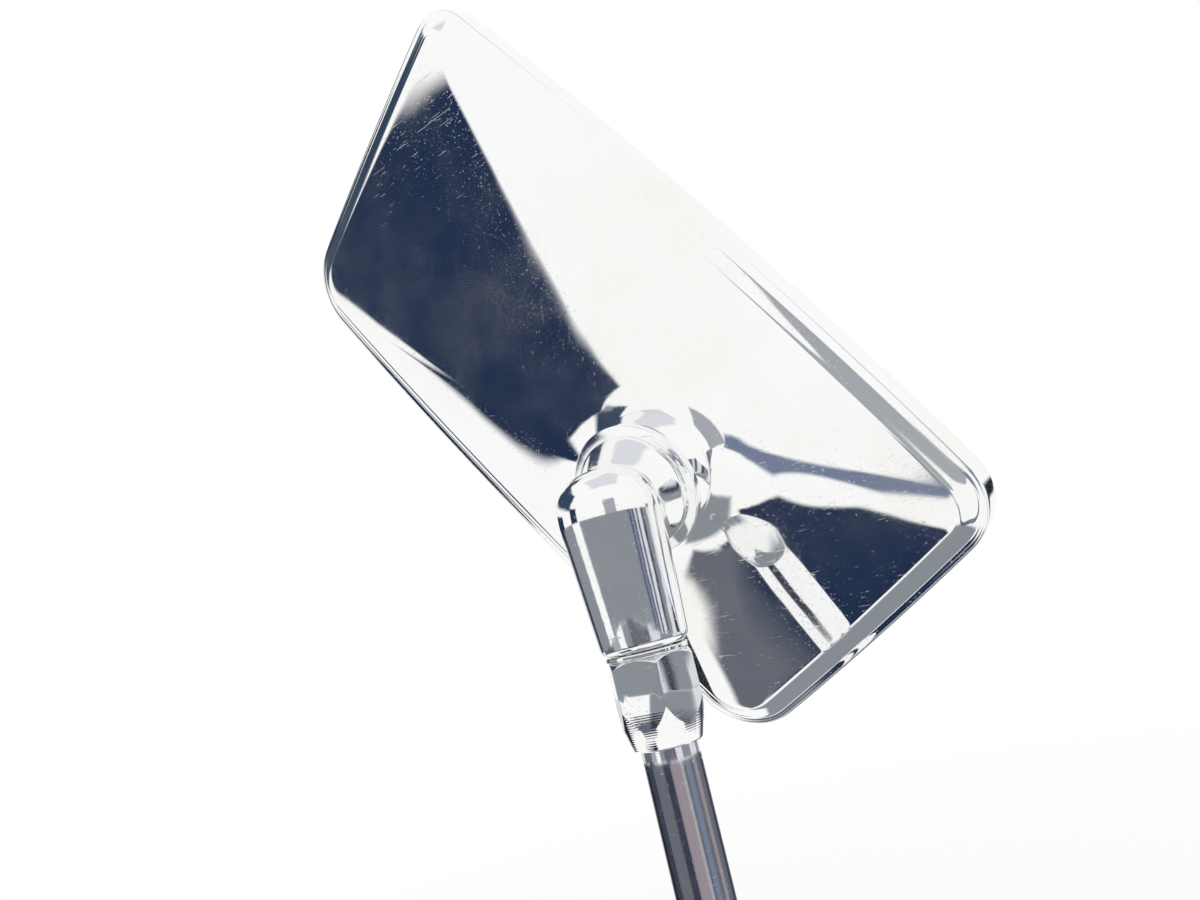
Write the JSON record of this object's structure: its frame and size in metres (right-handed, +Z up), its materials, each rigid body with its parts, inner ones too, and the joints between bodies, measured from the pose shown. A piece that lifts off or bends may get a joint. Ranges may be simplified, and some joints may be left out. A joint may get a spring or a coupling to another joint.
{
  "type": "motorcycle mirror",
  "caption": "Rectangular rear-view mirror with a swept chromed back, ball-jointed to a cast elbow that screws onto a threaded rod stem.",
  "frame": {"origin": "middle of the seat plane where the lower thread leaves the object", "axes": "+Z up the stem, the glass looks towards -Y, +X is the side of the head's long end"},
  "size_m": [0.132, 0.0584, 0.2509],
  "materials": {
    "stem_chrome": "polished",
    "cast_chrome": "polished, worn",
    "shell_chrome": "polished, dusty",
    "zinc_plate": "zinc plated",
    "hardened_steel": "ground",
    "shield_plastic": "moulded",
    "nylon": "moulded",
    "carrier_plastic": "moulded",
    "foam": "closed cell",
    "mirror_glass": "silvered",
    "seal_rubber": "smooth"
  },
  "bodies": {
    "stem": {"stem": "stem_chrome", "lower_washer": "zinc_plate"},
    "lower_nut": {"lower_lock_nut": "zinc_plate"},
    "washer": {"lock_washer": "cast_chrome"},
    "nut": {"lock_nut": "cast_chrome"},
    "elbow": {"elbow": "cast_chrome", "ball_stud": "hardened_steel"},
    "collar": {"neck_collar": "cast_chrome"},
    "shield": {"dust_shield": "shield_plastic"},
    "head": {"housing": "shell_chrome", "ball_seat_front": "nylon", "ball_seat_rear": "nylon", "disc_spring": "hardened_steel", "pressure_plate": "zinc_plate", "plate_screws": "zinc_plate", "glass_carrier": "carrier_plastic", "foam_pad": "foam", "mirror_glass": "mirror_glass", "rim_seal": "seal_rubber"}
  },
  "joints": [
    {"name": "lower_nut_turn", "type": "hinge", "parent": "stem", "child": "lower_nut", "pos_m": [0, 0, 0.0051], "axis": [0, 0, 1], "continuous": true},
    {"name": "lock_washer_drop", "type": "slide", "parent": "stem", "child": "washer", "axis": [0, 0, 1], "range_m": [-0.0013, 0]},
    {"name": "lock_nut_turn", "type": "hinge", "parent": "washer", "child": "nut", "pos_m": [0, 0, 0.087], "axis": [0, 0, 1], "range_deg": [-360, 0]},
    {"name": "elbow_turn", "type": "hinge", "parent": "stem", "child": "elbow", "pos_m": [0, 0, 0.105], "axis": [0, 0, 1], "range_deg": [-90, 90]},
    {"name": "head_roll", "type": "hinge", "parent": "elbow", "child": "collar", "pos_m": [0, -0.02002, 0.12729], "axis": [0, -0.9397, 0.342], "continuous": true},
    {"name": "head_nod", "type": "hinge", "parent": "collar", "child": "shield", "pos_m": [0, -0.02002, 0.12729], "axis": [1, 0, 0], "range_deg": [-17.5, 6]},
    {"name": "head_pan", "type": "hinge", "parent": "shield", "child": "head", "pos_m": [0, -0.02002, 0.12729], "axis": [0, 0.247, 0.969], "range_deg": [-10, 10]}
  ],
  "couplings": [
    {"joint": "lock_washer_drop", "follows": "lock_nut_turn", "m_per_rad": 0.00019894}
  ]
}
